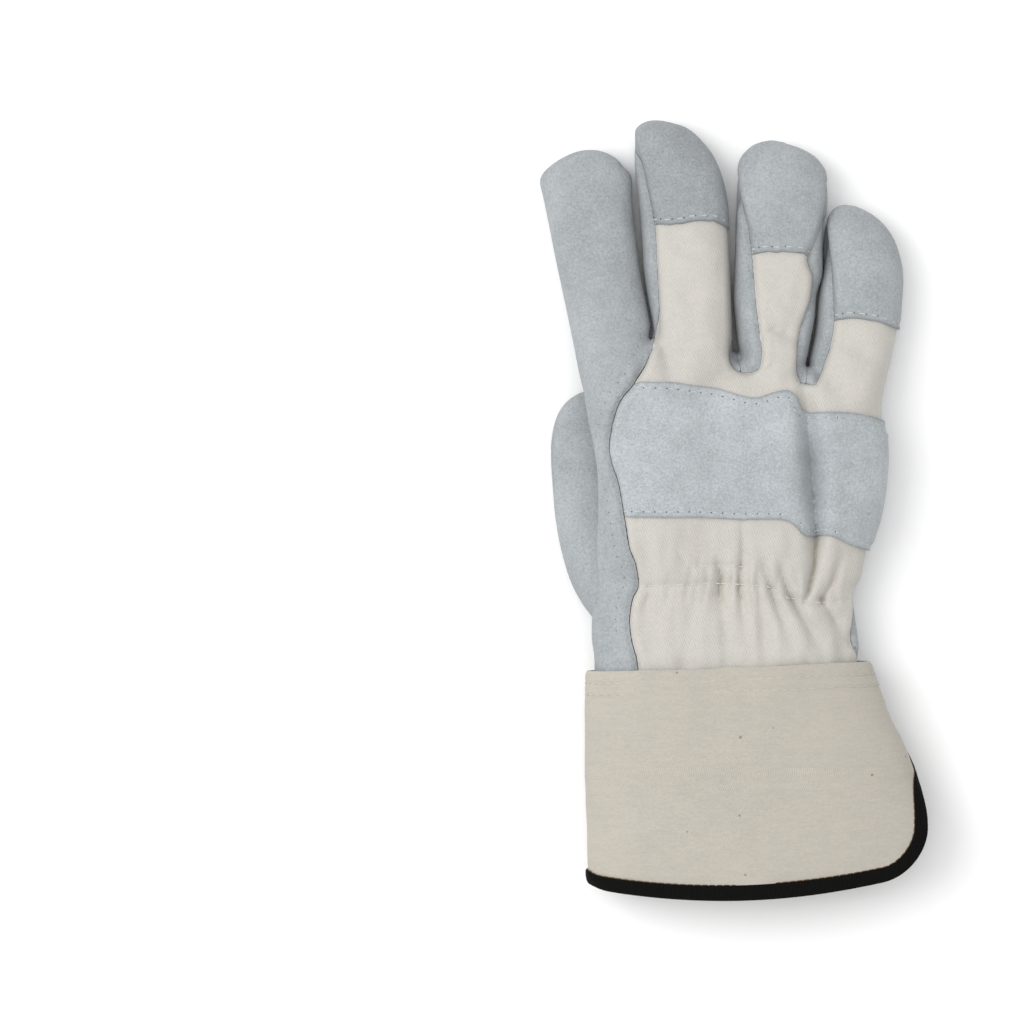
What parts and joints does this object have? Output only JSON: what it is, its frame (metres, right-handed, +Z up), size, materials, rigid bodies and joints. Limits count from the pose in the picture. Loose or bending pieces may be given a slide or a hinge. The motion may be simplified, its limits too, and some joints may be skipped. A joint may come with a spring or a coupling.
{
  "type": "leather-palm work glove with a canvas safety cuff, right hand",
  "caption": "Right-hand leather-palm work glove with a cotton back, leather knuckle strap and fingertip caps, gathered wrist and a flared, split canvas cuff bound in black tape, lying palm down.",
  "frame": {"origin": "middle of the bounding box, on the surface that the glove lies on", "axes": "+Y from the cuff to the fingertips, +X from the thumb's side to the little finger's side, +Z up out of the back of the hand"},
  "size_m": [0.1405, 0.2798, 0.0428],
  "materials": {
    "leather": "pale blue-grey split leather with a suede nap, matt",
    "back_cotton": "cream cotton drill, matt twill",
    "cuff_canvas": "natural stiffened canvas, matt, with brown seed flecks",
    "binding_tape": "black ribbed cotton tape, matt"
  },
  "bodies": {
    "root": {"palm": "leather", "index_back": "leather", "middle_front": "leather", "ring_front": "leather", "thumb": "leather", "middle_tip": "leather", "ring_tip": "leather", "little_tip": "leather", "knuckle_strap": "leather", "back": "back_cotton", "cuff": "cuff_canvas", "cuff_binding": "binding_tape"}
  },
  "joints": []
}
